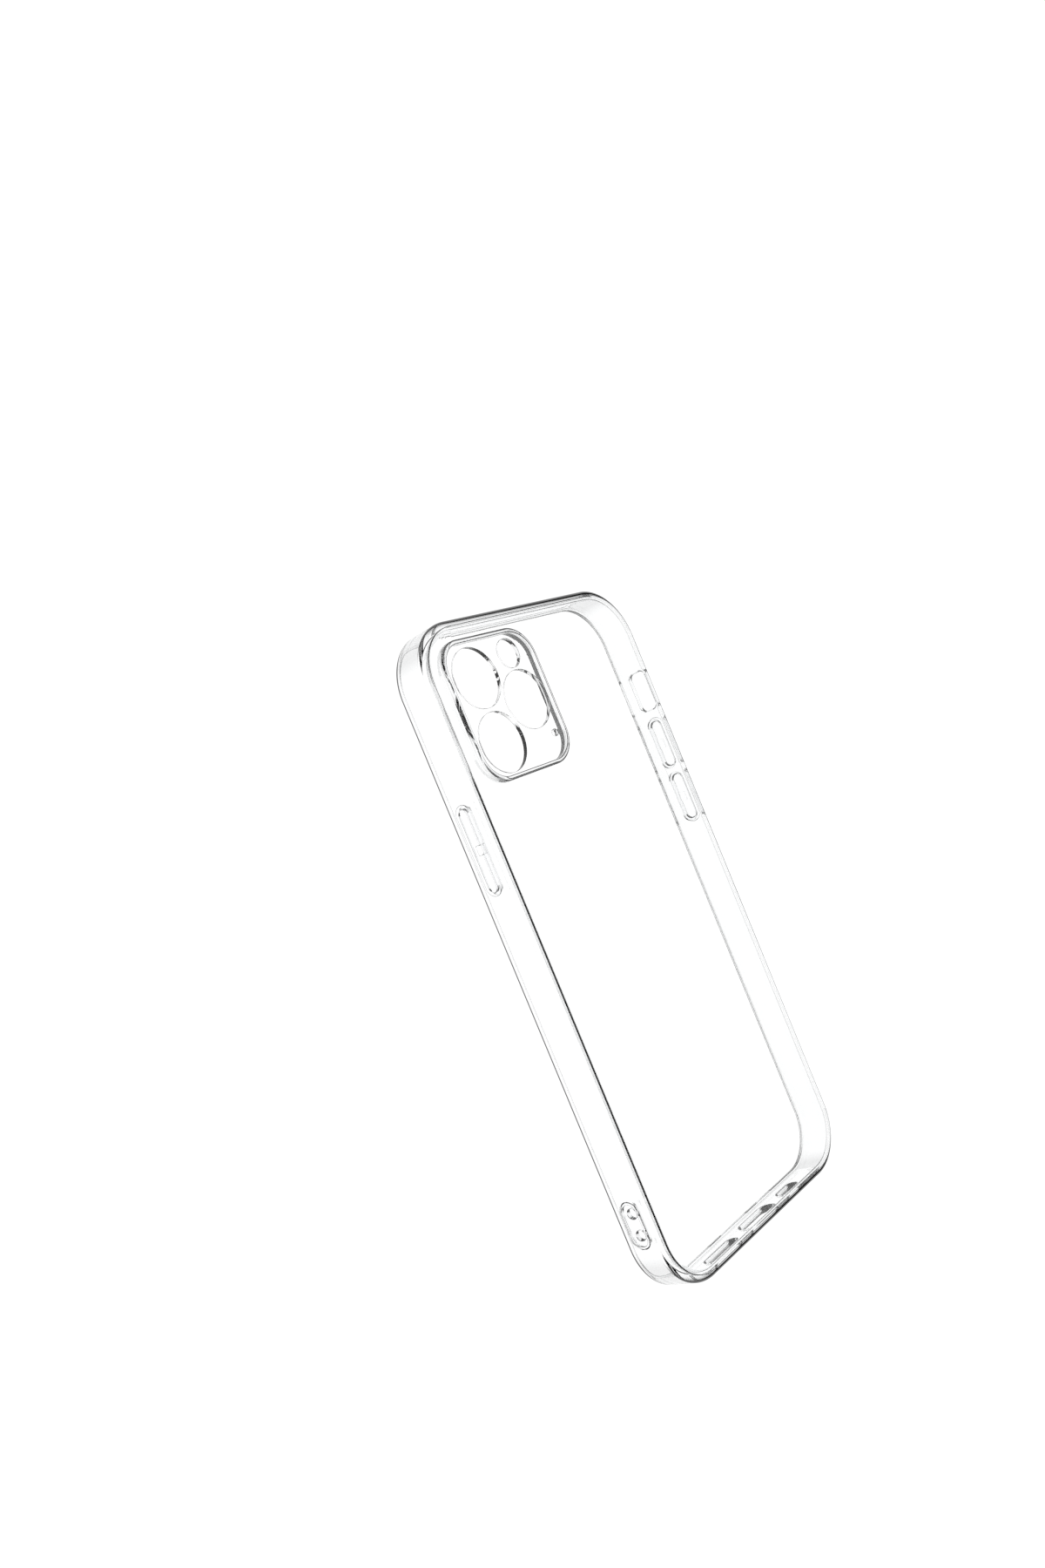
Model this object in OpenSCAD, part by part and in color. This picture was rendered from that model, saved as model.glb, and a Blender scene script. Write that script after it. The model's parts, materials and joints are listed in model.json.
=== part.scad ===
// Clear protective phone case: soft bumper frame, hard back panel, camera guard,
// lens plate, lanyard eyelet and three push buttons.
// Millimetres. The case lies screen side down: the lip rests on Z = 0, the back faces +Z,
// the camera end is +Y, and the origin is the middle of the lip plane.

/* [Case] */
// Outside width across the side walls, without the buttons
case_w = 75; // [74:0.5:80]
// Outside length
case_l = 150; // [149:0.5:165]
// Height from the lip plane to the back face
case_h = 9.6; // [9.4:0.1:10.6]
// Outside corner radius in plan
corner_r = 13; // [12:0.5:14]

/* [Walls] */
// Thickness of the side walls
wall = 1.65; // [1.5:0.05:1.9]
// Thickness of the back panel
back_t = 1.2; // [1:0.05:1.4]
// Height of the lip round the screen
lip_h = 0.9; // [0.7:0.05:1.1]
// Height of the back's face above the frame's edge round it
back_step = 0.4; // [0.1:0.05:0.5]
// Reach of the lip past the wall, over the edge of the screen
lip_reach = 0.45; // [0.3:0.05:0.6]
// Radius of the outer edge round the back
back_round = 1.5; // [1.2:0.1:1.6]
// Radius of the outer edge round the lip
lip_round = 1.3; // [1:0.1:1.5]
// Radius of the hollow where the wall meets the back
cove_r = 1; // [0.8:0.1:1.2]

/* [Camera guard] */
// Width of the raised guard
guard_w = 30.2; // [28:0.2:31]
// Length of the raised guard
guard_l = 31.5; // [30:0.1:33]
// Height of the guard's rim above the back
guard_h = 1.4; // [1.2:0.1:2]
// Corner radius of the guard in plan
guard_r = 7; // [6:0.5:8]
// Width of the rim round the lens plate
rim_w = 1; // [0.8:0.1:1.3]
// Depth of the lens plate's face below the top of the rim
plate_sink = 0.4; // [0.3:0.05:0.6]
// Thickness of the lens plate
plate_t = 1; // [0.8:0.05:1]
// Radius of the three lens holes
lens_r = 6.75; // [6:0.05:6.8]
// Radius of the flash hole
flash_r = 3.3; // [3:0.05:3.4]
// Radius of the microphone hole
mic_r = 0.8; // [0.5:0.1:1]

/* [Buttons] */
// Length of the power button's cap
power_l = 18.5; // [16:0.5:19]
// Length of each volume button's cap
volume_l = 11.7; // [10:0.1:12]
// Width of the power button's cap
power_w = 2.6; // [2.2:0.1:3]
// Width of the volume buttons' caps
volume_w = 3; // [2.4:0.1:3.2]
// Height of a cap above the side wall
cap_proud = 0.6; // [0.4:0.05:0.8]
// How far a button travels when it is pressed
travel = 0.4; // [0.2:0.05:0.4]
// Gap between a button and the frame
gap = 0.15; // [0.1:0.01:0.2]

/* [Openings] */
// Length of the mute switch opening
mute_l = 9.5; // [8:0.1:10]
// Length of the charging port opening
port_l = 12.4; // [11:0.1:13]
// Length of the speaker slot
speaker_l = 11.4; // [9:0.1:12]
// Length of the microphone slot in the end wall
mic_slot_l = 7; // [6:0.1:9]
// Radius of the two lanyard holes
lanyard_r = 1.2; // [0.9:0.05:1.3]

/* [Hidden] */
$fn = 64;

eps = 0.5;                           // cutters run this far past a face
panel_z = case_h - back_t;           // inner face of the back
frame_top = case_h - back_step;      // top of the frame's edge round the back
mid_z = lip_h + (panel_z - lip_h) / 2;
lip_in = wall + lip_reach;           // inner edge of the lip, from the outer wall
lip_edge_r = 0.2;                    // rounding of the lip's inner edges
cove_tip = 0.1;                      // thickness of the ledge at its inner edge

guard_c = [-17.9, 54.35];            // middle of the guard
guard_top = case_h + guard_h;
plate_top = guard_top - plate_sink;
rim_round = 0.4;
lens_step = 14.4;                    // spacing of the two outer lens holes
lens_x = -24.1;
inner_lens_x = -11.4;
lens_mid_y = 54;
flash_at = [-11.4, 64.6];
mic_at = [-6.9, 45.2];

power_y = 27.7;
volume_up_y = 34.7;
volume_down_y = 20.9;
bezel_w = 0.85;                      // rim of raised wall round a button
bezel_proud = 0.25;
flange_w = 0.5;                      // flange round the foot of a cap
flange_t = 0.4;
shoulder_t = 0.95;                   // wall left outside the flange's pocket
shoulder_gap = 0.05;                 // gap between flange and shoulder at rest
nub_l = 2.2;
nub_w = 1.8;
cap_round = 0.45;

mute_y = 48.25;
mute_h = 4.6;
mute_z = 5;
mute_r = 1.3;
port_h = 4.6;
slot_h = 3;
speaker_x = -16.1;
mic_slot_x = 14.1;
slot_z = 4.9;
mouth_extra = 0.35;                  // flare of a slot at the outer face

eyelet_l = 10.6;
eyelet_w = 4.6;
eyelet_y = -56.6;
eyelet_rim = 0.55;
eyelet_sink = 0.5;
lanyard_step = 4.9;

clear_soft = [0.9, 0.93, 0.95, 0.45];
clear_hard = [0.95, 0.97, 0.98, 0.35];
clear_plate = [0.93, 0.94, 0.95, 0.5];
clear_button = [0.85, 0.88, 0.9, 0.6];

// The part of a square corner that lies outside a round of radius r, with the corner at 0, 0
module corner_waste(r) {
    difference() {
        translate([-r, -r]) square(2 * r);
        translate([r, r]) circle(r);
        translate([r, -r]) square(2 * r);
        translate([-r, r]) square(2 * r);
    }
}

// Rectangle with round corners, centred
module plan(w, l, r) {
    square([w - 2 * r, l], center = true);
    square([w, l - 2 * r], center = true);
    for (x = [-1, 1], y = [-1, 1]) translate([x * (w / 2 - r), y * (l / 2 - r)]) circle(r);
}

// Sweeps a section round a rectangle with round corners. The section is drawn with
// X as the distance in from the outer wall and Y as the height.
module sweep_round(w, l, r) {
    for (turn = [0, 180]) rotate([0, 0, turn]) {
        translate([w / 2, l / 2 - r, 0]) rotate([90, 0, 0])
            linear_extrude(l - 2 * r) mirror([1, 0]) children();
        rotate([0, 0, 90]) translate([l / 2, w / 2 - r, 0]) rotate([90, 0, 0])
            linear_extrude(w - 2 * r) mirror([1, 0]) children();
        translate([w / 2 - r, l / 2 - r, 0])
            rotate_extrude(angle = 90) translate([r, 0]) mirror([1, 0]) children();
        translate([-w / 2 + r, l / 2 - r, 0]) rotate([0, 0, 90])
            rotate_extrude(angle = 90) translate([r, 0]) mirror([1, 0]) children();
    }
}

// Section of the side wall, with the lip at the foot and the ledge that carries the back
module wall_section() {
    difference() {
        union() {
            square([wall, panel_z]);
            square([back_round, frame_top]);
            square([lip_in, lip_h]);
            translate([0, panel_z - cove_r - cove_tip]) square([wall + cove_r, cove_r + cove_tip]);
        }
        translate([wall + cove_r, panel_z - cove_r - cove_tip]) circle(cove_r);
        corner_waste(lip_round);
        translate([0, frame_top]) mirror([0, 1]) corner_waste(back_round);
        translate([lip_in, 0]) mirror([1, 0]) corner_waste(lip_edge_r);
        translate([lip_in, lip_h]) rotate(180) corner_waste(lip_edge_r);
    }
}

// Flat slab with round ends, lying in the wall's plane: length along Y, width along Z,
// from x = 0 outwards to x = depth
module pill(l, w, depth) {
    rotate([90, 0, 90]) linear_extrude(depth) {
        square([l - w, w], center = true);
        for (s = [-1, 1]) translate([s * (l - w) / 2, 0]) circle(w / 2);
    }
}

// The same slab, with its outer edge rounded
module round_pill(l, w, depth, r) {
    straight = l - w;
    for (s = [0, 1]) mirror([0, s, 0]) translate([0, straight / 2, 0]) rotate([0, 90, 0])
        rotate_extrude(angle = 180) cap_half(w / 2, depth, r);
    translate([0, straight / 2, 0]) rotate([0, 90, 0]) rotate([90, 0, 0]) linear_extrude(straight) {
        cap_half(w / 2, depth, r);
        mirror([1, 0]) cap_half(w / 2, depth, r);
    }
}

// Half of a cap's section: half width along X, height along Y, outer corner rounded
module cap_half(half_w, depth, r) {
    difference() {
        square([half_w, depth]);
        translate([half_w, depth]) rotate(180) corner_waste(r);
    }
}

// Opening through the end wall at -Y, with a flare at its outer face
module end_slot(x, l, h) {
    translate([x, -case_l / 2, slot_z]) rotate([0, 0, -90]) {
        translate([-wall - 2 * eps, 0, 0]) pill(l, h, wall + 3 * eps);
        translate([-mouth_extra, 0, 0]) pill(l + 2 * mouth_extra, h + 2 * mouth_extra, eps + mouth_extra);
    }
}

// What a button needs out of the +X wall: a slot for its cap and a pocket for its flange
module button_space(y, l, w) {
    wall_x = case_w / 2;
    translate([wall_x - shoulder_t - eps, y, mid_z])
        pill(l + 2 * gap, w + 2 * gap, shoulder_t + 2 * eps);
    translate([wall_x - wall - eps, y, mid_z])
        pill(l + 2 * (flange_w + gap), w + 2 * (flange_w + gap), wall - shoulder_t + eps);
}

// Raised surround on the +X wall
module bezel(y, l, w) {
    translate([case_w / 2 - eps, y, mid_z])
        round_pill(l + 2 * bezel_w, w + 2 * bezel_w, eps + bezel_proud, bezel_proud);
}

// Button in the +X wall: cap, captive flange and the nub that meets the phone's own key
module button(y, l, w) {
    foot_x = case_w / 2 - shoulder_t - shoulder_gap;
    translate([foot_x - flange_t, y, mid_z]) {
        pill(l + 2 * flange_w, w + 2 * flange_w, flange_t);
        round_pill(l, w, flange_t + shoulder_gap + shoulder_t + cap_proud, cap_round);
    }
    translate([case_w / 2 - wall, y - nub_l / 2, mid_z - nub_w / 2])
        cube([wall - shoulder_t, nub_l, nub_w]);
}

module bumper_frame() {
    volume_mid = (volume_up_y + volume_down_y) / 2;
    volume_span = volume_up_y - volume_down_y + volume_l;
    color(clear_soft) difference() {
        union() {
            sweep_round(case_w, case_l, corner_r) wall_section();
            bezel(volume_mid, volume_span, volume_w);
            mirror([1, 0, 0]) bezel(power_y, power_l, power_w);
        }
        for (y = [volume_up_y, volume_down_y]) button_space(y, volume_l, volume_w);
        mirror([1, 0, 0]) button_space(power_y, power_l, power_w);
        translate([case_w / 2 - wall - eps, mute_y, mute_z]) rotate([90, 0, 90])
            linear_extrude(wall + 2 * eps) plan(mute_l, mute_h, mute_r);
        translate([-case_w / 2 - eps, eyelet_y, mid_z]) pill(eyelet_l, eyelet_w, wall + 2 * eps);
        end_slot(0, port_l, port_h);
        end_slot(speaker_x, speaker_l, slot_h);
        end_slot(mic_slot_x, mic_slot_l, slot_h);
    }
}

module back_panel() {
    color(clear_hard) translate([0, 0, panel_z]) linear_extrude(back_t) difference() {
        plan(case_w - 2 * back_round, case_l - 2 * back_round, corner_r - back_round);
        translate(guard_c) plan(guard_w, guard_l, guard_r);
    }
}

// Section of the guard's rim
module rim_section() {
    difference() {
        translate([0, panel_z]) square([rim_w, guard_top - panel_z]);
        translate([0, guard_top]) mirror([0, 1]) corner_waste(rim_round);
        translate([rim_w, guard_top]) rotate(180) corner_waste(rim_round);
    }
}

module camera_guard() {
    color(clear_soft) translate([guard_c[0], guard_c[1], 0])
        sweep_round(guard_w, guard_l, guard_r) rim_section();
}

module lens_plate() {
    color(clear_plate) difference() {
        translate([guard_c[0], guard_c[1], plate_top - plate_t]) linear_extrude(plate_t)
            plan(guard_w - 2 * rim_w, guard_l - 2 * rim_w, guard_r - rim_w);
        for (s = [-1, 1]) plate_hole([lens_x, lens_mid_y + s * lens_step / 2], lens_r);
        plate_hole([inner_lens_x, lens_mid_y], lens_r);
        plate_hole(flash_at, flash_r);
        plate_hole(mic_at, mic_r);
    }
}

module plate_hole(at, r) {
    translate([at[0], at[1], plate_top - plate_t - eps]) cylinder(r = r, h = plate_t + 2 * eps);
}

// Pill-shaped insert in the -X wall, with a sunk face and two holes for a lanyard's loop
module lanyard_eyelet() {
    face_x = -case_w / 2;
    color(clear_plate) difference() {
        translate([face_x, eyelet_y, mid_z]) pill(eyelet_l, eyelet_w, wall);
        translate([face_x - eps, eyelet_y, mid_z])
            pill(eyelet_l - 2 * eyelet_rim, eyelet_w - 2 * eyelet_rim, eps + eyelet_sink);
        for (s = [-1, 1]) translate([face_x - eps, eyelet_y + s * lanyard_step / 2, mid_z])
            rotate([0, 90, 0]) cylinder(r = lanyard_r, h = wall + 2 * eps);
    }
}

module power_button() {
    color(clear_button) mirror([1, 0, 0]) button(power_y, power_l, power_w);
}

module volume_up_button() {
    color(clear_button) button(volume_up_y, volume_l, volume_w);
}

module volume_down_button() {
    color(clear_button) button(volume_down_y, volume_l, volume_w);
}

bumper_frame();
back_panel();
camera_guard();
lens_plate();
lanyard_eyelet();
power_button();
volume_up_button();
volume_down_button();
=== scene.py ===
import json
import math

import bmesh
import bpy
from mathutils import Matrix, Vector


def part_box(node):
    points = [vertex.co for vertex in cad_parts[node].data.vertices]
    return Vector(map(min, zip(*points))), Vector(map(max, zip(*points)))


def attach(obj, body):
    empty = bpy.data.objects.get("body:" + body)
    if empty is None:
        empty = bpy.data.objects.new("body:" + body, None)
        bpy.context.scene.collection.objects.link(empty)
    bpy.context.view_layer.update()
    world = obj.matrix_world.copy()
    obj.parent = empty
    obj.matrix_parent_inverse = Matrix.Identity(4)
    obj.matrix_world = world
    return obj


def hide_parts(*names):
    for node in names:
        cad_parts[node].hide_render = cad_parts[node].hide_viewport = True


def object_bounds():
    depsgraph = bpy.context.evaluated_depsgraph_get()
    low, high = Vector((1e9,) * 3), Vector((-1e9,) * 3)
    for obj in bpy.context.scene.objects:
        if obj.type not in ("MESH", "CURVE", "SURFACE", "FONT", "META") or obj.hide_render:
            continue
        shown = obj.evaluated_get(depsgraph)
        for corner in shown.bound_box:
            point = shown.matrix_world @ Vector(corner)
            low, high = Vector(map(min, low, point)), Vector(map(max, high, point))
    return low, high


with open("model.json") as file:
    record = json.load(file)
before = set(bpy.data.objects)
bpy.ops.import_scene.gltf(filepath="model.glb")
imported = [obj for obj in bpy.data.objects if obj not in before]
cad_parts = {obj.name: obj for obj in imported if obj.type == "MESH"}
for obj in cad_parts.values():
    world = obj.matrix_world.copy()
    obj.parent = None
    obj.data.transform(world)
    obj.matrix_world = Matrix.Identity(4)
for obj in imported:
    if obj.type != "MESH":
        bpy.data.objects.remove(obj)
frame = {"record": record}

bl_info = {
    "name": "Clear Phone Case",
    "version": (1, 0, 0),
    "blender": (4, 5, 0),
    "location": "View3D > Sidebar > Phone Case",
    "description": "Builds a clear phone case round its design frame, with its stage and light",
    "category": "Add Mesh",
}

MM = 0.001
CAD_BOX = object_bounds()

# Boxes and mounts of the design frame, in metres
PANEL_LOW, PANEL_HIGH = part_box("back_panel")
GUARD_LOW, GUARD_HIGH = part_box("camera_guard")
PLATE_LOW, PLATE_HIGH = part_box("lens_plate")
EYELET_LOW, EYELET_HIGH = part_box("lanyard_eyelet")
FRAME_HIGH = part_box("bumper_frame")[1]
MOUNTS = {m["name"]: m for m in frame["record"]["mounts"]}
HALF_W = -EYELET_LOW.x
HALF_L = FRAME_HIGH.y
BACK_ROUND = HALF_W - PANEL_HIGH.x
PLATE_HOLES = ("lens_hole_upper", "lens_hole_lower", "lens_hole_inner", "flash_hole")
LANYARD_HOLES = ("lanyard_hole_upper", "lanyard_hole_lower")

# Small details that stay the same whatever the sizes are
ARC_STEPS = 6  # facets of a rounded edge
SAME_PLACE = 1e-7  # points closer than this are one
EASE = 1e-6  # keeps a round that fills its corner from closing on itself
TOOL_MARGIN = 0.6 * MM  # how far a cutting tool runs past the wall
PAD_ROOT = 0.5 * MM  # how far a raised surround starts inside the wall
LIP_FOOT = 0.1 * MM  # rounding where the lip meets the wall
GUARD_FOOT = (0.05 * MM, 0.15 * MM)  # rounding of the guard's foot, outside and inside
FLANGE_EDGE = 0.08 * MM  # rounding of a button's flange
NUB_CORNER, NUB_EDGE = 0.3 * MM, 0.12 * MM  # rounding of its nub, in plan and at the tip
EYELET_FACE_EDGE = 0.15 * MM  # rounding where the eyelet's rim drops to its sunk face
LANYARD_EDGES = (0.1 * MM, 0.15 * MM)  # rounding of a lanyard hole, inside and outside
CAP_SLOT_EDGE = 0.6  # rounding of a cap's slot, as a part of the other openings'
GRAIN_DEPTH = 0.01 * MM
FLOOR_REACH, FLOOR_Z = 3.0, -0.3 * MM  # half the floor's side, and its height


# ---------------------------------------------------------------- settings


def length(name, text, millimetres):
    """A length property, with its default given in millimetres."""
    return bpy.props.FloatProperty(
        name=name, description=text, default=millimetres * MM, unit="LENGTH", precision=5
    )


def number(name, text, value, top=1):
    """A plain number property that isn't negative."""
    return bpy.props.FloatProperty(name=name, description=text, default=value, min=0, max=top)


def colour(name, text, value):
    """A colour property."""
    return bpy.props.FloatVectorProperty(
        name=name, description=text, subtype="COLOR", default=value, min=0, max=1
    )


class CASE_PG_shell(bpy.types.PropertyGroup):
    """Sizes of the bumper frame and the back panel"""

    wall: length("Wall", "Thickness of the side walls", 1.65)
    lip_height: length("Lip height", "Height of the lip round the screen", 0.9)
    lip_reach: length("Lip reach", "How far the lip reaches in past the wall", 0.45)
    lip_round: length("Lip round", "Radius of the outer edge round the lip", 1.3)
    lip_edge: length("Lip edge", "Radius of the lip's inner edges", 0.2)
    cove: length("Cove", "Radius of the hollow where the wall meets the back", 1.0)
    ledge: length("Ledge", "Thickness of the ledge's inner edge", 0.1)
    corner: length("Corner", "Outside corner radius in plan", 13.0)
    seam: length("Seam", "How far bonded pieces reach into each other", 0.02)
    hairline: length("Hairline", "Air gap below the panel and round the eyelet", 0.02)
    panel_edge: length("Panel edge", "Radius of the panel's outer edge, above the frame", 0.3)
    corner_steps: bpy.props.IntProperty(
        name="Corner steps", description="Facets round a plan corner", default=72, min=8
    )


class CASE_PG_guard(bpy.types.PropertyGroup):
    """Sizes of the camera guard and the lens plate"""

    corner: length("Corner", "Corner radius of the guard in plan", 7.0)
    rim: length("Rim", "Width of the rim round the lens plate", 1.0)
    rim_outer: length("Rim outer edge", "Radius of the rim's outer top edge", 0.65)
    rim_inner: length("Rim inner edge", "Radius of the rim's inner top edge", 0.3)
    hole_edge: length("Hole edge", "Radius of the edges round the lens holes", 0.1)
    mic_radius: length("Microphone hole", "Radius of the microphone hole", 0.8)
    mic_x: length("Microphone X", "Place of the microphone hole across the case", -6.9)
    mic_y: length("Microphone Y", "Place of the microphone hole along the case", 45.2)


class CASE_PG_keys(bpy.types.PropertyGroup):
    """Sizes of the buttons and of the openings in the walls"""

    flange: length("Flange", "Width of the flange round a cap's foot", 0.5)
    flange_depth: length("Flange depth", "Thickness of that flange", 0.4)
    shoulder: length("Shoulder", "Wall left outside the flange's pocket", 0.95)
    fit: length("Fit", "How far a button's faces reach into the frame's", 0.01)
    cap_round: length("Cap round", "Radius of a cap's outer edge", 0.55)
    bezel: length("Bezel", "Width of the raised surround of a button", 0.85)
    nub_length: length("Nub length", "Length of the nub behind a cap", 2.2)
    nub_width: length("Nub width", "Width of the nub behind a cap", 1.8)
    mute_y: length("Mute Y", "Middle of the mute opening along the case", 48.25)
    mute_z: length("Mute Z", "Height of the mute opening's middle", 5.0)
    mute_length: length("Mute length", "Length of the mute opening", 9.5)
    mute_height: length("Mute height", "Height of the mute opening", 4.6)
    mute_corner: length("Mute corner", "Corner radius of the mute opening", 1.3)
    slot_z: length("Slot Z", "Height of the middle of the end wall's openings", 4.9)
    port_length: length("Port length", "Length of the charging port opening", 12.4)
    port_height: length("Port height", "Height of the charging port opening", 4.6)
    speaker_x: length("Speaker X", "Middle of the speaker slot", -16.1)
    speaker_length: length("Speaker length", "Length of the speaker slot", 11.4)
    mic_x: length("Microphone X", "Middle of the microphone slot", 14.1)
    mic_length: length("Microphone length", "Length of the microphone slot", 7.0)
    slot_height: length("Slot height", "Height of the two sound slots", 3.0)
    flare: length("Flare", "Radius of an end opening's edge outside the wall", 0.35)
    slot_edge: length("Slot edge", "Radius of an end opening's edge inside the wall", 0.3)
    opening_edge: length("Opening edge", "Radius of a side opening's edge outside the wall", 0.18)
    inner_edge: length("Inner edge", "Radius of the mute opening's edge inside the wall", 0.9)
    eyelet_edge: length("Eyelet edge", "Radius of the edges along the eyelet's outline", 0.28)
    eyelet_rim: length("Eyelet rim", "Width of the rim round the eyelet's sunk face", 0.55)
    eyelet_sink: length("Eyelet sink", "Depth of the eyelet's sunk face", 0.5)


class CASE_PG_finish(bpy.types.PropertyGroup):
    """Colours, painted edge shade and polish of the clear plastics, and the light of the stage"""

    soft_tint: colour("Soft plastic", "Tint of the soft frame", (0.958, 0.962, 0.965))
    hard_tint: colour("Hard plastic", "Tint of the hard back", (0.99, 0.993, 0.994))
    floor_tint: colour("Floor", "Colour of the floor", (1.0, 1.0, 1.0))
    table: number("Light table", "Brightness of the floor", 1.1, top=10)
    tent: number("Light tent", "Brightness of the tent overhead", 1.2, top=10)
    flag: number("Flags", "Level of the dark flags against the tent", 0.01)
    # Painted shade: the next four settings draw dark outlines. They mix the Base Color of curved
    # edges towards this grey where those edges are seen edge-on.
    painted_edge_shade: number("Painted edge shade", "Light that a curved edge lets through, seen edge-on", 0.0)
    button_painted_edge_shade: number("Button painted edge shade", "The same for the button caps", 0.35)
    painted_shade_start: number("Painted shade start", "How far a curved edge turns away before it darkens", 0.3)
    painted_shade_full: number("Painted shade full", "How far it turns away where it is darkest", 0.5)
    polish: number("Polish", "Roughness of a clean polished face", 0.012)


def shell():
    """The settings of the frame and the panel."""
    return bpy.context.scene.case_shell


def guard():
    """The settings of the guard and the lens plate."""
    return bpy.context.scene.case_guard


def keys():
    """The settings of the buttons and openings."""
    return bpy.context.scene.case_keys


def finish():
    """The settings of the looks and the light."""
    return bpy.context.scene.case_finish


# ---------------------------------------------------------------- outlines


def turn(centre, radius, start, end, steps):
    """Points on an arc from one angle to another, in degrees, ends included."""
    angles = [math.radians(start + (end - start) * i / steps) for i in range(steps + 1)]
    return [(centre[0] + radius * math.cos(a), centre[1] + radius * math.sin(a)) for a in angles]


def plan_loop(half_w, half_l, radius, steps, centre=(0, 0)):
    """A rectangle with round corners, as a function of how far it is drawn in."""
    def loop(inset):
        points = []
        for sx, sy, start in ((1, 1, 0), (-1, 1, 90), (-1, -1, 180), (1, -1, 270)):
            middle = (centre[0] + sx * (half_w - radius), centre[1] + sy * (half_l - radius))
            points += turn(middle, radius - inset, start, start + 90, steps)
        return points
    return loop


def pill_loop(half_l, half_w, centre=(0, 0), steps=32):
    """A slot with round ends, long along the first axis, as a function of its inset."""
    def loop(inset):
        points = []
        for side, start in ((1, -90), (-1, 90)):
            middle = (centre[0] + side * (half_l - half_w), centre[1])
            points += turn(middle, half_w - inset, start, start + 180, steps)
        return points
    return loop


def ring_loop(radius, centre, steps):
    """A circle, as a function of its inset."""
    def loop(inset):
        return turn(centre, radius - inset, 0, 360 * (1 - 1 / steps), steps - 1)
    return loop


def round_outline(corners, arc_step=6.0):
    """A closed outline from corners given as (x, y, radius), with each corner rounded."""
    points = []
    for i, (x, y, radius) in enumerate(corners):
        here = Vector((x, y))
        if radius <= 0:
            points.append((x, y))
            continue
        back = (Vector(corners[i - 1][:2]) - here).normalized()
        ahead = (Vector(corners[(i + 1) % len(corners)][:2]) - here).normalized()
        half = back.angle(ahead) / 2
        middle = here + (back + ahead).normalized() * radius / math.sin(half)
        first = here + back * radius / math.tan(half) - middle
        last = here + ahead * radius / math.tan(half) - middle
        total = math.atan2(first.x * last.y - first.y * last.x, first.dot(last))
        steps = max(4, math.ceil(abs(math.degrees(total)) / arc_step))
        begin = math.atan2(first.y, first.x)
        for k in range(steps + 1):
            a = begin + total * k / steps
            points.append((middle.x + radius * math.cos(a), middle.y + radius * math.sin(a)))
    return points


# ---------------------------------------------------------------- mesh building


def flat_place(a, b, level):
    """Outline in plan, level upwards."""
    return Vector((a, b, level))


def side_place(side):
    """Outline along Y and up, level outwards through the wall at +X (1) or -X (-1)."""
    return lambda a, b, level: Vector((side * level, a, b))


def end_place(a, b, level):
    """Outline along X and up, level outwards through the end wall at -Y."""
    return Vector((a, -level, b))


def arc_angles():
    """Angles of the facets of a rounded edge, from 0 to 90 degrees."""
    return [math.radians(90 * k / ARC_STEPS) for k in range(ARC_STEPS + 1)]


def edge_rings(loop, low, high, low_round=0.0, high_round=0.0, hole=False):
    """(outline, level) pairs up the side of a slab, with its two edges rounded."""
    sign = -1 if hole else 1
    rings = []
    for a in arc_angles() if low_round else [math.pi / 2]:
        inset = low_round * (1 - math.sin(a))
        rings.append((loop(sign * inset), low + low_round * (1 - math.cos(a))))
    for a in arc_angles() if high_round else [0.0]:
        inset = high_round * (1 - math.cos(a))
        rings.append((loop(sign * inset), high - high_round * (1 - math.sin(a))))
    return rings


def through_rings(loop, low, high, low_edge, high_edge):
    """Rings of a cutting tool through a wall, flared so that both edges come out rounded."""
    rings = [(loop(-low_edge), low - TOOL_MARGIN)]
    for a in arc_angles() if low_edge else []:
        rings.append((loop(-low_edge * (1 - math.sin(a))), low + low_edge * (1 - math.cos(a))))
    for a in arc_angles() if high_edge else []:
        outline = loop(-high_edge * (1 - math.cos(a)))
        rings.append((outline, high - high_edge * (1 - math.sin(a))))
    rings.append((loop(-high_edge), high + TOOL_MARGIN))
    return rings


def stack(bm, rings, place):
    """Joins a stack of equal outlines with faces and returns its first and last rings."""
    rows = [[bm.verts.new(place(a, b, level)) for a, b in outline] for outline, level in rings]
    for lower, upper in zip(rows, rows[1:]):
        for i in range(len(lower)):
            j = (i + 1) % len(lower)
            bm.faces.new((lower[i], lower[j], upper[j], upper[i]))
    return rows[0], rows[-1]


def plug(bm, rings, place):
    """A stack of outlines closed at both ends."""
    for ring in stack(bm, rings, place):
        bm.faces.new(ring)


def fill(bm, rings):
    """Closes the flat area between an outer ring and the rings of its holes."""
    if len(rings) == 1:
        bm.faces.new(rings[0])
        return
    bm.edges.index_update()
    edges = [bm.edges.get((ring[i - 1], ring[i])) for ring in rings for i in range(len(ring))]
    bmesh.ops.triangle_fill(bm, edges=edges, use_beauty=True)


def turn_outwards(bm):
    """Points the faces of a closed bmesh outwards."""
    bmesh.ops.recalc_face_normals(bm, faces=bm.faces)
    if bm.calc_volume(signed=True) < 0:
        bmesh.ops.reverse_faces(bm, faces=bm.faces)


def to_object(bm, name):
    """A new object from a bmesh, with its faces turned outwards."""
    turn_outwards(bm)
    mesh = bpy.data.meshes.new(name)
    bm.to_mesh(mesh)
    bm.free()
    piece = bpy.data.objects.new(name, mesh)
    bpy.context.scene.collection.objects.link(piece)
    return piece


def slab(name, outer, holes, low, high, place, rounds=(0, 0), hole_round=0.0):
    """A closed slab with holes through it and rounded edges."""
    bm = bmesh.new()
    ends = [stack(bm, edge_rings(outer, low, high, *rounds), place)]
    for hole in holes:
        rings = edge_rings(hole, low, high, hole_round, hole_round, hole=True)
        ends.append(stack(bm, rings, place))
    for rings in zip(*ends):
        fill(bm, rings)
    return to_object(bm, name)


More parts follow.
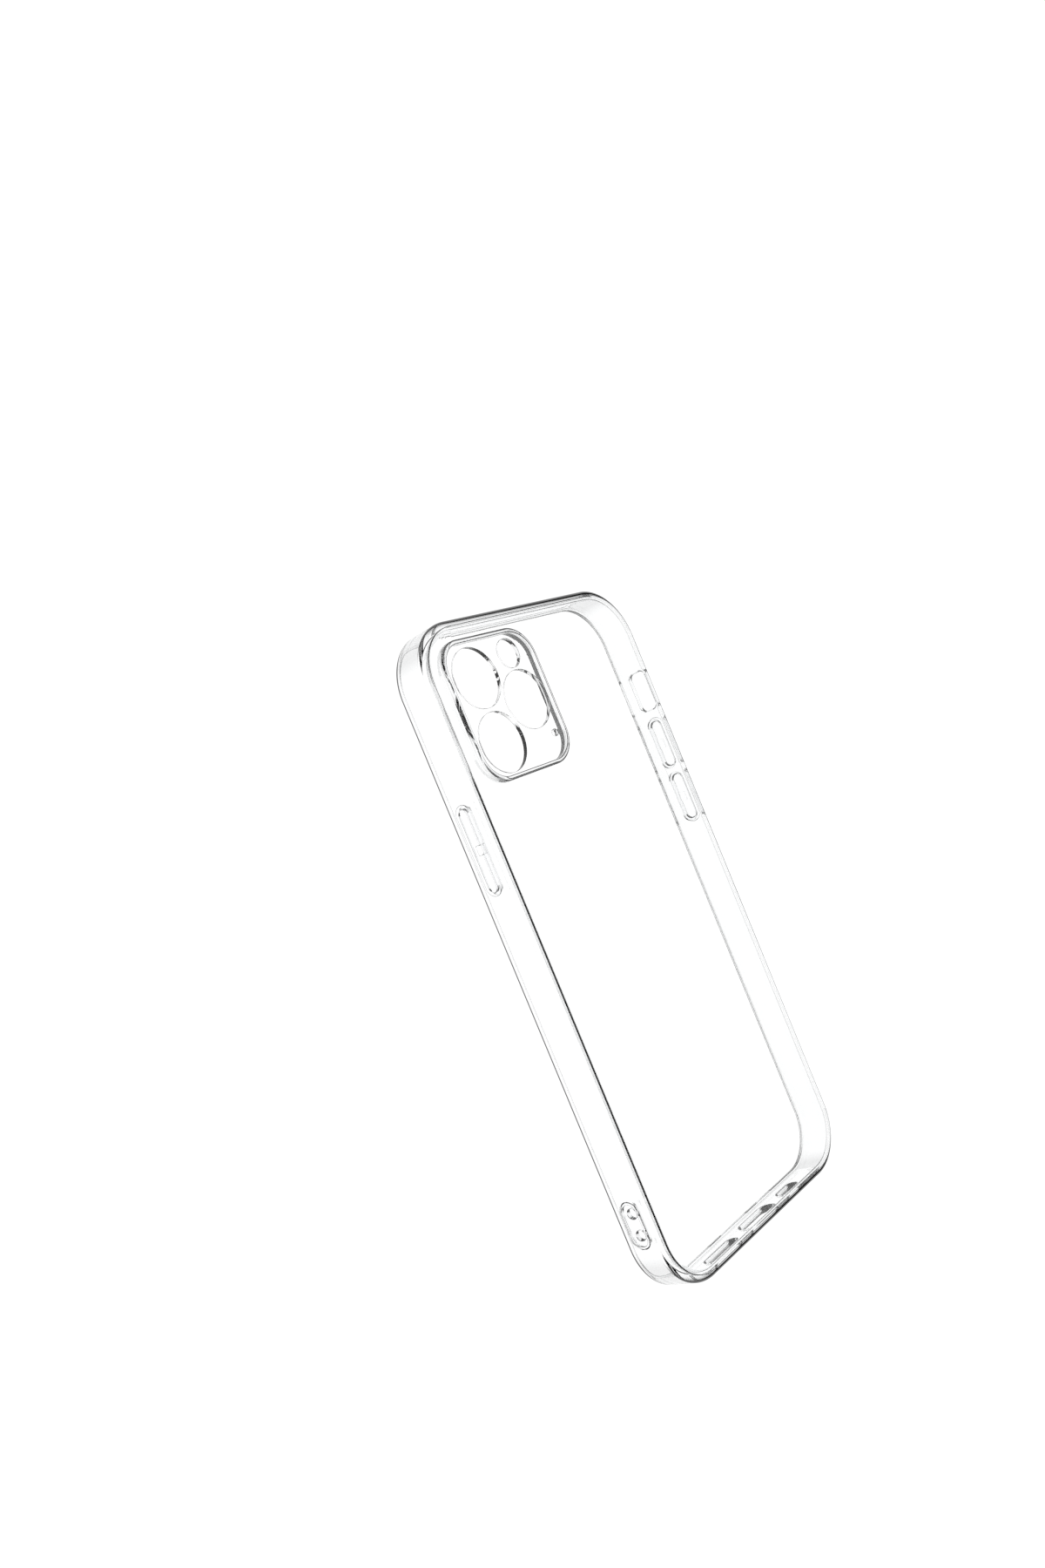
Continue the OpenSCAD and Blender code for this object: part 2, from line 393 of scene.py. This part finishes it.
def plain(source, name):
    """The evaluated result of an object as a new plain mesh object. The source is removed."""
    graph = bpy.context.evaluated_depsgraph_get()
    graph.update()
    mesh = bpy.data.meshes.new_from_object(
        source.evaluated_get(graph), preserve_all_data_layers=True, depsgraph=graph
    )
    source.name = name + ".source"
    mesh.name = name
    result = bpy.data.objects.new(name, mesh)
    bpy.context.scene.collection.objects.link(result)
    bpy.data.objects.remove(source)
    return result


def boolean(piece, tool, operation):
    """Adds one tool to a piece, or takes it away, and removes the tool."""
    name = piece.name
    step = piece.modifiers.new(operation.lower(), "BOOLEAN")
    step.operation = operation
    step.solver = "EXACT"
    step.object = tool
    result = plain(piece, name)
    bpy.data.objects.remove(tool)
    return result


def clean(piece, sharp_angle=25.0):
    """Merges doubles, and shades flat faces flat right up to their rounded edges."""
    bm = bmesh.new()
    bm.from_mesh(piece.data)
    bmesh.ops.remove_doubles(bm, verts=bm.verts, dist=SAME_PLACE)
    bmesh.ops.dissolve_degenerate(bm, dist=SAME_PLACE, edges=bm.edges)
    bm.to_mesh(piece.data)
    bm.free()
    piece.data.shade_smooth()
    piece.data.set_sharp_from_angle(angle=math.radians(sharp_angle))
    smooth = piece.modifiers.new("flat faces", "WEIGHTED_NORMAL")
    smooth.keep_sharp = True
    smooth.weight = 100
    return plain(piece, piece.name)


def present(piece, node, body, material):
    """Stands a finished piece in for its CAD node."""
    piece.data.materials.clear()
    piece.data.materials.append(material)
    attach(piece, body)
    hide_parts(node)


# ---------------------------------------------------------------- node trees


def sockets(tree, side, *entries):
    """Adds sockets to a group from (name, type) or (name, type, value) entries."""
    for name, kind, *value in entries:
        socket = tree.interface.new_socket(name, in_out=side, socket_type="NodeSocket" + kind)
        if value:
            socket.default_value = value[0]


def add(tree, kind, values=None, **settings):
    """A new node with its settings, and its inputs' values by name."""
    node = tree.nodes.new(kind)
    for name, value in settings.items():
        setattr(node, name, value)
    for name, value in (values or {}).items():
        node.inputs[name].default_value = value
    return node


def wire(tree, *links):
    """Links sockets, each link given as node, output, node, input."""
    for source, output, target, entry in links:
        tree.links.new(source.outputs[output], target.inputs[entry])


def sweep_tree():
    """Geometry nodes that sweep a section round a rectangle with round corners."""
    tree = bpy.data.node_groups.new("Sweep round a plan", "GeometryNodeTree")
    sockets(
        tree, "INPUT", ("Width", "Float"), ("Length", "Float"), ("Corner Radius", "Float"),
        ("Corner Steps", "Int"), ("Centre", "Vector"), ("Section", "Object"),
        ("Finish", "Material"),
    )
    sockets(tree, "OUTPUT", ("Geometry", "Geometry"))
    start, end = add(tree, "NodeGroupInput"), add(tree, "NodeGroupOutput")
    plan = add(tree, "GeometryNodeCurvePrimitiveQuadrilateral")
    corner = add(tree, "GeometryNodeFilletCurve", mode="POLY")
    upright = add(tree, "GeometryNodeSetCurveNormal", mode="Z_UP")
    section = add(tree, "GeometryNodeObjectInfo")
    sweep = add(tree, "GeometryNodeCurveToMesh")
    shift = add(tree, "GeometryNodeTransform")
    whole = add(tree, "GeometryNodeRealizeInstances")
    coat = add(tree, "GeometryNodeSetMaterial")
    wire(
        tree,
        (start, "Width", plan, "Width"),
        (start, "Length", plan, "Height"),
        (plan, "Curve", corner, "Curve"),
        (start, "Corner Steps", corner, "Count"),
        (start, "Corner Radius", corner, "Radius"),
        (corner, "Curve", upright, "Curve"),
        (upright, "Curve", sweep, "Curve"),
        (start, "Section", section, "Object"),
        (section, "Geometry", sweep, "Profile Curve"),
        (sweep, "Mesh", shift, "Geometry"),
        (start, "Centre", shift, "Translation"),
        (shift, "Geometry", whole, "Geometry"),
        (whole, "Geometry", coat, "Geometry"),
        (start, "Finish", coat, "Material"),
        (coat, "Geometry", end, "Geometry"),
    )
    return tree


def run_tree(name, tree, values):
    """A plain mesh object made by a geometry node tree from its named inputs."""
    holder = bpy.data.objects.new(name, bpy.data.meshes.new(name))
    bpy.context.scene.collection.objects.link(holder)
    nodes = holder.modifiers.new("nodes", "NODES")
    nodes.node_group = tree
    inputs = {s.name: s.identifier for s in tree.interface.items_tree if s.in_out == "INPUT"}
    for key, value in values.items():
        nodes[inputs[key]] = value
    return plain(holder, name)


def section_object(name, outline):
    """A closed section for a sweep: distance in from the outer wall, and height."""
    curve = bpy.data.curves.new(name, "CURVE")
    curve.dimensions = "2D"
    spline = curve.splines.new("POLY")
    spline.points.add(len(outline) - 1)
    for point, (inward, up) in zip(spline.points, outline):
        point.co = (-inward, -up, 0, 1)
    spline.use_cyclic_u = True
    holder = bpy.data.objects.new(name, curve)
    bpy.context.scene.collection.objects.link(holder)
    return holder


def swept(name, half_w, half_l, corner, outline, centre, material):
    """A ring with round plan corners, swept from a section, as a closed mesh."""
    section = section_object(name + ".section", outline)
    piece = run_tree(name, sweep_tree(), {
        "Width": 2 * half_w, "Length": 2 * half_l, "Corner Radius": corner,
        "Corner Steps": shell().corner_steps, "Centre": centre,
        "Section": section, "Finish": material,
    })
    bpy.data.objects.remove(section)
    bm = bmesh.new()
    bm.from_mesh(piece.data)
    bmesh.ops.remove_doubles(bm, verts=bm.verts, dist=SAME_PLACE)
    turn_outwards(bm)
    bm.to_mesh(piece.data)
    bm.free()
    return piece


def moulded_group():
    """Shader nodes for a moulded, handled clear plastic.

    Color and Roughness vary a little with the flow of the plastic, and Height is its grain.
    Curved is 1 where a face lies along none of the axes, as a rounded edge does, and weaker
    on upright faces, so that the plan's corners aren't taken for edges. It marks where the
    painted edge shade goes.
    """
    tree = bpy.data.node_groups.get("Moulded surface")
    if tree:
        return tree
    tree = bpy.data.node_groups.new("Moulded surface", "ShaderNodeTree")
    sockets(
        tree, "INPUT", ("Tint", "Color", (1, 1, 1, 1)), ("Polish", "Float", 0.01),
        ("Smear", "Float", 0.02), ("Flow Scale", "Float", 60.0), ("Grain Scale", "Float", 900.0),
    )
    sockets(
        tree, "OUTPUT", ("Color", "Color"), ("Roughness", "Float"), ("Height", "Float"),
        ("Curved", "Float"),
    )
    start, end = add(tree, "NodeGroupInput"), add(tree, "NodeGroupOutput")
    place = add(tree, "ShaderNodeTexCoord")
    flow = add(tree, "ShaderNodeTexNoise", {"Detail": 2})
    grain = add(tree, "ShaderNodeTexNoise", {"Detail": 3})
    shade = add(tree, "ShaderNodeMix", data_type="RGBA", blend_type="MULTIPLY")
    shade.inputs["Factor"].default_value = 1.0
    ramp = add(tree, "ShaderNodeMapRange", {"To Min": 0.992, "To Max": 1.0})
    smear = add(tree, "ShaderNodeMapRange", {"From Min": 0.5, "From Max": 0.8})
    wire(
        tree,
        (place, "Object", flow, "Vector"),
        (place, "Object", grain, "Vector"),
        (start, "Flow Scale", flow, "Scale"),
        (start, "Grain Scale", grain, "Scale"),
        (flow, "Fac", ramp, "Value"),
        (start, "Tint", shade, "A"),
        (ramp, "Result", shade, "B"),
        (shade, "Result", end, "Color"),
        (flow, "Fac", smear, "Value"),
        (start, "Polish", smear, "To Min"),
        (start, "Smear", smear, "To Max"),
        (smear, "Result", end, "Roughness"),
        (grain, "Fac", end, "Height"),
    )
    facing = add(tree, "ShaderNodeNewGeometry")
    size = add(tree, "ShaderNodeVectorMath", operation="ABSOLUTE")
    parts = add(tree, "ShaderNodeSeparateXYZ")
    flat = add(tree, "ShaderNodeMath", operation="MAXIMUM")
    largest = add(tree, "ShaderNodeMath", operation="MAXIMUM")
    curved = add(tree, "ShaderNodeMapRange", {"From Min": 0.9995, "From Max": 0.995})
    upright = add(tree, "ShaderNodeMapRange", {"From Max": 0.05, "To Min": 0.35})
    weaken = add(tree, "ShaderNodeMath", operation="MULTIPLY")
    wire(
        tree,
        (facing, "True Normal", size, 0),
        (size, "Vector", parts, "Vector"),
        (parts, "X", flat, 0),
        (parts, "Y", flat, 1),
        (flat, "Value", largest, 0),
        (parts, "Z", largest, 1),
        (largest, "Value", curved, "Value"),
        (parts, "Z", upright, "Value"),
        (curved, "Result", weaken, 0),
        (upright, "Result", weaken, 1),
        (weaken, "Value", end, "Curved"),
    )
    return tree


def clear_plastic(name, tint, painted_edge_shade, polish, smear, grain, ior):
    """A colourless moulded plastic that bends light, with painted shade that darkens its curved
    edges where they are seen edge-on.
    """
    material = bpy.data.materials.new(name)
    material.use_nodes = True
    tree = material.node_tree
    shader = tree.nodes["Principled BSDF"]
    shader.inputs["Transmission Weight"].default_value = 1.0
    shader.inputs["Metallic"].default_value = 0.0
    shader.inputs["IOR"].default_value = ior
    surface = add(tree, "ShaderNodeGroup", node_tree=moulded_group())
    for key, value in (("Tint", (*tint, 1)), ("Polish", polish), ("Smear", smear)):
        surface.inputs[key].default_value = value
    bump = add(tree, "ShaderNodeBump", {"Strength": grain, "Distance": GRAIN_DEPTH})
    # Painted shade: where a curved face is seen edge-on, its Base Color is mixed towards a dark
    # grey, which draws dark outlines round the edges.
    edge_on = add(tree, "ShaderNodeLayerWeight", {"Blend": 0.5})
    reach = add(
        tree, "ShaderNodeMapRange",
        {"From Min": finish().painted_shade_start, "From Max": finish().painted_shade_full},
        interpolation_type="SMOOTHSTEP",
    )
    amount = add(tree, "ShaderNodeMath", operation="MULTIPLY")
    darken = add(tree, "ShaderNodeMix", data_type="RGBA")
    darken.inputs["B"].default_value = (painted_edge_shade, painted_edge_shade, painted_edge_shade, 1)
    wire(
        tree,
        (edge_on, "Facing", reach, "Value"),
        (surface, "Curved", amount, 0),
        (reach, "Result", amount, 1),
        (amount, "Value", darken, "Factor"),
        (surface, "Color", darken, "A"),
        (darken, "Result", shader, "Base Color"),
        (surface, "Roughness", shader, "Roughness"),
        (surface, "Height", bump, "Height"),
        (bump, "Normal", shader, "Normal"),
    )
    return material


def finish_of(name):
    """The named finish, made the first time it is asked for."""
    made = bpy.data.materials.get(name)
    if made:
        return made
    look = finish()
    soft, hard, polish, rim = look.soft_tint, look.hard_tint, look.polish, look.painted_edge_shade
    # tint, level of the painted edge shade, roughness, roughness of smears, strength of grain,
    # index of refraction
    recipes = {
        "soft clear": (soft, rim, polish, polish * 3, 0.15, 1.49),
        "hard clear": (hard, rim, polish * 0.5, polish * 1.5, 0.05, 1.52),
        "guard clear": (soft, rim, polish, polish * 2, 0.1, 1.5),
        "button clear": (soft, look.button_painted_edge_shade, polish, polish * 4, 0.25, 1.49),
    }
    return clear_plastic(name, *recipes[name])


# ---------------------------------------------------------------- pieces


def wall_outline():
    """Section of the side wall, lip and ledge: distance in from the outer wall, and height."""
    s = shell()
    back, top = PANEL_LOW.z, FRAME_HIGH.z
    lip_in = s.wall + s.lip_reach
    step = s.wall + s.cove
    return round_outline([
        (0, 0, s.lip_round),
        (0, top, BACK_ROUND),
        (BACK_ROUND + s.seam, top, 0),
        (BACK_ROUND + s.seam, back - s.hairline, 0),
        (step, back - s.hairline, 0),
        (step, back - s.ledge, 0),
        (s.wall, back - s.ledge, s.cove - EASE),
        (s.wall, s.lip_height, LIP_FOOT),
        (lip_in, s.lip_height, s.lip_edge),
        (lip_in, 0, s.lip_edge),
    ])


def key_places():
    """Each button's node, side and middle, and half the length and width of its cap."""
    k = keys()
    places = []
    for node, side in (("power_button", -1), ("volume_up_button", 1), ("volume_down_button", 1)):
        low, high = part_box(node)
        half_l = (high.y - low.y) / 2 - k.flange
        half_w = (high.z - low.z) / 2 - k.flange
        places.append((node, side, (low + high) / 2, half_l, half_w))
    return places


def frame_tools():
    """One mesh of every opening that is cut from the bumper frame."""
    k, s = keys(), shell()
    inner = HALF_W - s.wall
    bm = bmesh.new()
    mute = plan_loop(
        k.mute_length / 2, k.mute_height / 2, k.mute_corner, steps=16, centre=(k.mute_y, k.mute_z)
    )
    plug(bm, through_rings(mute, inner, HALF_W, k.inner_edge, k.opening_edge), side_place(1))
    for x, span, height in (
        (0, k.port_length, k.port_height),
        (k.speaker_x, k.speaker_length, k.slot_height),
        (k.mic_x, k.mic_length, k.slot_height),
    ):
        slot = pill_loop(span / 2, height / 2, (x, k.slot_z))
        plug(bm, through_rings(slot, HALF_L - s.wall, HALF_L, k.slot_edge, k.flare), end_place)
    eyelet = eyelet_loop(s.hairline)
    plug(bm, through_rings(eyelet, inner, HALF_W, 0, k.eyelet_edge), side_place(-1))
    shoulder = HALF_W - k.shoulder
    edge = k.opening_edge * CAP_SLOT_EDGE
    for _, side, middle, half_l, half_w in key_places():
        centre = (middle.y, middle.z)
        pocket = pill_loop(half_l + k.flange - k.fit, half_w + k.flange - k.fit, centre)
        slot = pill_loop(half_l - k.fit, half_w - k.fit, centre)
        rings = [(pocket(0), inner - TOOL_MARGIN), (pocket(0), shoulder), (slot(0), shoulder)]
        rings += through_rings(slot, shoulder, FRAME_HIGH.x, 0, edge)[1:]
        plug(bm, rings, side_place(side))
    return to_object(bm, "opening tools")


def bezel_pads():
    """The raised surround of the power button and the one that both volume buttons share."""
    bezel = keys().bezel
    proud = FRAME_HIGH.x - HALF_W
    groups = {}
    for _, side, middle, half_l, half_w in key_places():
        span = (middle.y - half_l, middle.y + half_l, half_w, middle.z)
        groups.setdefault(side, []).append(span)
    bm = bmesh.new()
    for side, spans in groups.items():
        low, high = min(span[0] for span in spans), max(span[1] for span in spans)
        half_w, z = spans[0][2:]
        centre = ((low + high) / 2, z)
        loop = pill_loop((high - low) / 2 + bezel, half_w + bezel, centre, steps=40)
        rings = [(loop(0), HALF_W - PAD_ROOT)]
        rings += edge_rings(loop, HALF_W, HALF_W + proud, 0, proud)
        plug(bm, rings, side_place(side))
    return to_object(bm, "bezel pads")


def make_bumper_frame():
    """The swept wall with its surrounds added and its openings cut."""
    material = finish_of("soft clear")
    piece = swept(
        "bumper_frame_shell", HALF_W, HALF_L, shell().corner, wall_outline(), (0, 0, 0), material
    )
    piece = boolean(piece, bezel_pads(), "UNION")
    piece = boolean(piece, frame_tools(), "DIFFERENCE")
    present(clean(piece), "bumper_frame", "case", material)


def middle_and_halves(low, high):
    """Middle of a box, and half its width and half its length."""
    return (low + high) / 2, (high.x - low.x) / 2, (high.y - low.y) / 2


def make_back_panel():
    """The back's sheet, with a window for the camera guard."""
    s = shell()
    outer = plan_loop(PANEL_HIGH.x, PANEL_HIGH.y, s.corner - BACK_ROUND, s.corner_steps)
    middle, half_w, half_l = middle_and_halves(GUARD_LOW, GUARD_HIGH)
    window = plan_loop(
        half_w - s.seam, half_l - s.seam, guard().corner, s.corner_steps, middle.xy
    )
    rounds = (0, s.panel_edge)
    piece = slab(
        "back_panel_sheet", outer, [window], PANEL_LOW.z, PANEL_HIGH.z, flat_place, rounds
    )
    present(clean(piece), "back_panel", "case", finish_of("hard clear"))


def make_camera_guard():
    """The rim round the lens plate, swept from its section."""
    g = guard()
    middle, half_w, half_l = middle_and_halves(GUARD_LOW, GUARD_HIGH)
    outline = round_outline([
        (0, GUARD_LOW.z, GUARD_FOOT[0]),
        (0, GUARD_HIGH.z, g.rim_outer),
        (g.rim, GUARD_HIGH.z, g.rim_inner),
        (g.rim, GUARD_LOW.z, GUARD_FOOT[1]),
    ])
    material = finish_of("guard clear")
    piece = swept(
        "camera_guard_rim", half_w, half_l, g.corner, outline, (middle.x, middle.y, 0), material
    )
    present(clean(piece), "camera_guard", "case", material)


def make_lens_plate():
    """The sunk plate with its holes."""
    g, s = guard(), shell()
    middle, half_w, half_l = middle_and_halves(PLATE_LOW, PLATE_HIGH)
    outer = plan_loop(
        half_w + s.seam, half_l + s.seam, g.corner - g.rim, s.corner_steps, middle.xy
    )
    holes = []
    for name in PLATE_HOLES:
        x, y, _ = MOUNTS[name]["pos_m"]
        holes.append(ring_loop(MOUNTS[name]["dims"]["r_mm"] * MM, (x, y), steps=128))
    holes.append(ring_loop(g.mic_radius, (g.mic_x, g.mic_y), steps=32))
    piece = slab(
        "lens_plate_cover", outer, holes, PLATE_LOW.z, PLATE_HIGH.z, flat_place,
        hole_round=g.hole_edge,
    )
    present(clean(piece), "lens_plate", "case", finish_of("hard clear"))


def eyelet_loop(grow=0.0):
    """Outline of the lanyard eyelet in the wall's plane, made larger by grow."""
    middle = (EYELET_LOW + EYELET_HIGH) / 2
    half_l = (EYELET_HIGH.y - EYELET_LOW.y) / 2 + grow
    half_w = (EYELET_HIGH.z - EYELET_LOW.z) / 2 + grow
    return pill_loop(half_l, half_w, (middle.y, middle.z))


def make_lanyard_eyelet():
    """The insert with its sunk face and its two holes."""
    k = keys()
    outer = eyelet_loop()
    inner, face = HALF_W - shell().wall, HALF_W
    floor = face - k.eyelet_sink
    edge = EYELET_FACE_EDGE
    place = side_place(-1)
    bm = bmesh.new()
    rings = edge_rings(outer, inner, face, 0, k.eyelet_edge)
    for a in arc_angles():
        inset = k.eyelet_rim - edge + edge * math.sin(a)
        rings.append((outer(inset), face - edge * (1 - math.cos(a))))
    rings.append((outer(k.eyelet_rim), floor))
    ends = [stack(bm, rings, place)]
    for name in LANYARD_HOLES:
        _, y, z = MOUNTS[name]["pos_m"]
        hole = ring_loop(MOUNTS[name]["dims"]["r_mm"] * MM, (y, z), steps=48)
        ends.append(stack(bm, edge_rings(hole, inner, floor, *LANYARD_EDGES, hole=True), place))
    for rings in zip(*ends):
        fill(bm, rings)
    piece = clean(to_object(bm, "lanyard_eyelet_insert"))
    present(piece, "lanyard_eyelet", "case", finish_of("guard clear"))


def make_button(node, side, middle, half_l, half_w):
    """Cap, captive flange and nub as one closed solid."""
    k = keys()
    centre = (middle.y, middle.z)
    place = side_place(side)
    cap = pill_loop(half_l, half_w, centre)
    flange = pill_loop(half_l + k.flange, half_w + k.flange, centre)
    seat = HALF_W - k.shoulder + k.fit
    foot = seat - k.flange_depth
    bm = bmesh.new()
    rings = edge_rings(flange, foot, seat, FLANGE_EDGE, FLANGE_EDGE)
    rings += edge_rings(cap, seat, CAD_BOX[1][0], 0, k.cap_round)
    first, last = stack(bm, rings, place)
    nub = plan_loop(k.nub_length / 2, k.nub_width / 2, NUB_CORNER, steps=6, centre=centre)
    tip, root = stack(bm, edge_rings(nub, HALF_W - shell().wall, foot, NUB_EDGE), place)
    for rings in ([first, root], [tip], [last]):
        fill(bm, rings)
    piece = clean(to_object(bm, node + "_cap"))
    present(piece, node, node, finish_of("button clear"))


# ---------------------------------------------------------------- stage


def make_floor():
    """A plain pale floor that glows softly, as a light table does, and is clear from below."""
    bm = bmesh.new()
    corners = [(-1, -1), (1, -1), (1, 1), (-1, 1)]
    bm.faces.new([bm.verts.new((x * FLOOR_REACH, y * FLOOR_REACH, FLOOR_Z)) for x, y in corners])
    floor = to_object(bm, "floor")
    if floor.data.polygons[0].normal.z < 0:
        floor.data.flip_normals()
    material = bpy.data.materials.new("pale floor")
    material.use_nodes = True
    tree = material.node_tree
    tree.nodes.remove(tree.nodes["Principled BSDF"])
    tint = (*finish().floor_tint, 1)
    glow = add(tree, "ShaderNodeEmission", {"Color": tint, "Strength": finish().table})
    side = add(tree, "ShaderNodeNewGeometry")
    clear = add(tree, "ShaderNodeBsdfTransparent")
    either = add(tree, "ShaderNodeMixShader")
    wire(
        tree,
        (side, "Backfacing", either, "Fac"),
        (glow, "Emission", either, 1),
        (clear, "BSDF", either, 2),
        (either, "Shader", tree.nodes["Material Output"], "Surface"),
    )
    floor.data.materials.append(material)


def make_world():
    """A light tent: bright overhead and at the horizon, with black flags in a ring between.

    The flags are there only for light that the case bends or reflects. Behind the case the
    camera sees plain white.
    """
    world = bpy.data.worlds.new("studio")
    bpy.context.scene.world = world
    world.use_nodes = True
    tree = world.node_tree
    look = finish()
    back = tree.nodes["Background"]
    back.inputs["Strength"].default_value = look.tent
    place = add(tree, "ShaderNodeTexCoord")
    split = add(tree, "ShaderNodeSeparateXYZ")
    ramp = add(tree, "ShaderNodeValToRGB")
    # height of a direction, as its Z, and the brightness that comes from there
    bands = ((0.11, 1.0), (0.13, look.flag), (0.38, look.flag), (0.48, 0.55), (0.8, 1.0))
    stops = ramp.color_ramp.elements
    while len(stops) < len(bands):
        stops.new(1.0)
    for stop, (height, brightness) in zip(stops, bands):
        stop.position = height
        stop.color = (brightness, brightness, brightness, 1)
    plain_back = add(tree, "ShaderNodeBackground", {"Color": (1, 1, 1, 1)})
    path = add(tree, "ShaderNodeLightPath")
    either = add(tree, "ShaderNodeMixShader")
    wire(
        tree,
        (place, "Generated", split, "Vector"),
        (split, "Z", ramp, "Fac"),
        (ramp, "Color", back, "Color"),
        (path, "Is Camera Ray", either, "Fac"),
        (back, "Background", either, 1),
        (plain_back, "Background", either, 2),
        (either, "Shader", tree.nodes["World Output"], "Surface"),
    )


def make_camera():
    """Looks down on the back from the power button's side, rolled as a hand would hold it."""
    data = bpy.data.cameras.new("view")
    data.sensor_width = 36.0
    data.lens = 31.5
    data.shift_y = 0.0628
    data.clip_start = 0.005
    camera = bpy.data.objects.new("view", data)
    aim, distance = Vector((-34.3, 18.3, 9.6)) * MM, 281 * MM
    bearing, tilt, roll = (math.radians(a) for a in (-92.63, 47.51, 69.25))
    turned = (
        Matrix.Rotation(bearing, 4, "Z") @ Matrix.Rotation(tilt, 4, "X")
        @ Matrix.Rotation(roll, 4, "Z")
    )
    camera.matrix_world = Matrix.Translation(aim + turned @ Vector((0, 0, distance))) @ turned
    bpy.context.scene.collection.objects.link(camera)
    bpy.context.scene.camera = camera


# ---------------------------------------------------------------- operators


class CASE_OT_stage(bpy.types.Operator):
    """Set the camera, the floor and the soft light"""

    bl_idname = "case.stage"
    bl_label = "Stage"

    def execute(self, context):
        make_camera()
        make_floor()
        make_world()
        context.scene.view_settings.view_transform = "Standard"
        return {"FINISHED"}


class CASE_OT_bumper_frame(bpy.types.Operator):
    """Make the soft frame with its lip, surrounds and openings"""

    bl_idname = "case.bumper_frame"
    bl_label = "Bumper Frame"

    def execute(self, context):
        make_bumper_frame()
        return {"FINISHED"}


class CASE_OT_back_panel(bpy.types.Operator):
    """Make the hard back panel with the window for the camera guard"""

    bl_idname = "case.back_panel"
    bl_label = "Back Panel"

    def execute(self, context):
        make_back_panel()
        return {"FINISHED"}


class CASE_OT_camera_guard(bpy.types.Operator):
    """Make the raised rim round the lens plate"""

    bl_idname = "case.camera_guard"
    bl_label = "Camera Guard"

    def execute(self, context):
        make_camera_guard()
        return {"FINISHED"}


class CASE_OT_lens_plate(bpy.types.Operator):
    """Make the thin plate with the lens, flash and microphone holes"""

    bl_idname = "case.lens_plate"
    bl_label = "Lens Plate"

    def execute(self, context):
        make_lens_plate()
        return {"FINISHED"}


class CASE_OT_lanyard_eyelet(bpy.types.Operator):
    """Make the sunk insert with its two holes for a lanyard"""

    bl_idname = "case.lanyard_eyelet"
    bl_label = "Lanyard Eyelet"

    def execute(self, context):
        make_lanyard_eyelet()
        return {"FINISHED"}


class CASE_OT_buttons(bpy.types.Operator):
    """Make the power button and the two volume buttons"""

    bl_idname = "case.buttons"
    bl_label = "Buttons"

    def execute(self, context):
        for place in key_places():
            make_button(*place)
        return {"FINISHED"}


STEPS = (
    CASE_OT_stage, CASE_OT_bumper_frame, CASE_OT_back_panel, CASE_OT_camera_guard,
    CASE_OT_lens_plate, CASE_OT_lanyard_eyelet, CASE_OT_buttons,
)

GROUPS = {
    "case_shell": CASE_PG_shell,
    "case_guard": CASE_PG_guard,
    "case_keys": CASE_PG_keys,
    "case_finish": CASE_PG_finish,
}


class CASE_PT_panel(bpy.types.Panel):
    """Lists the steps that build the case, and their settings"""

    bl_label = "Phone Case"
    bl_idname = "CASE_PT_panel"
    bl_space_type = "VIEW_3D"
    bl_region_type = "UI"
    bl_category = "Phone Case"

    def draw(self, context):
        for step in STEPS:
            self.layout.operator(step.bl_idname)
        for group in GROUPS:
            settings = getattr(context.scene, group)
            box = self.layout.box()
            for name in settings.__annotations__:
                box.prop(settings, name)


CLASSES = (*GROUPS.values(), *STEPS, CASE_PT_panel)


def register():
    """Registers the classes and their settings."""
    for item in CLASSES:
        bpy.utils.register_class(item)
    for name, group in GROUPS.items():
        setattr(bpy.types.Scene, name, bpy.props.PointerProperty(type=group))


def unregister():
    """Takes them away again."""
    for name in GROUPS:
        delattr(bpy.types.Scene, name)
    for item in reversed(CLASSES):
        bpy.utils.unregister_class(item)


def main():
    """Builds everything in order."""
    register()
    for step in STEPS:
        area, name = step.bl_idname.split(".")
        getattr(getattr(bpy.ops, area), name)()


if __name__ == "__main__":
    main()
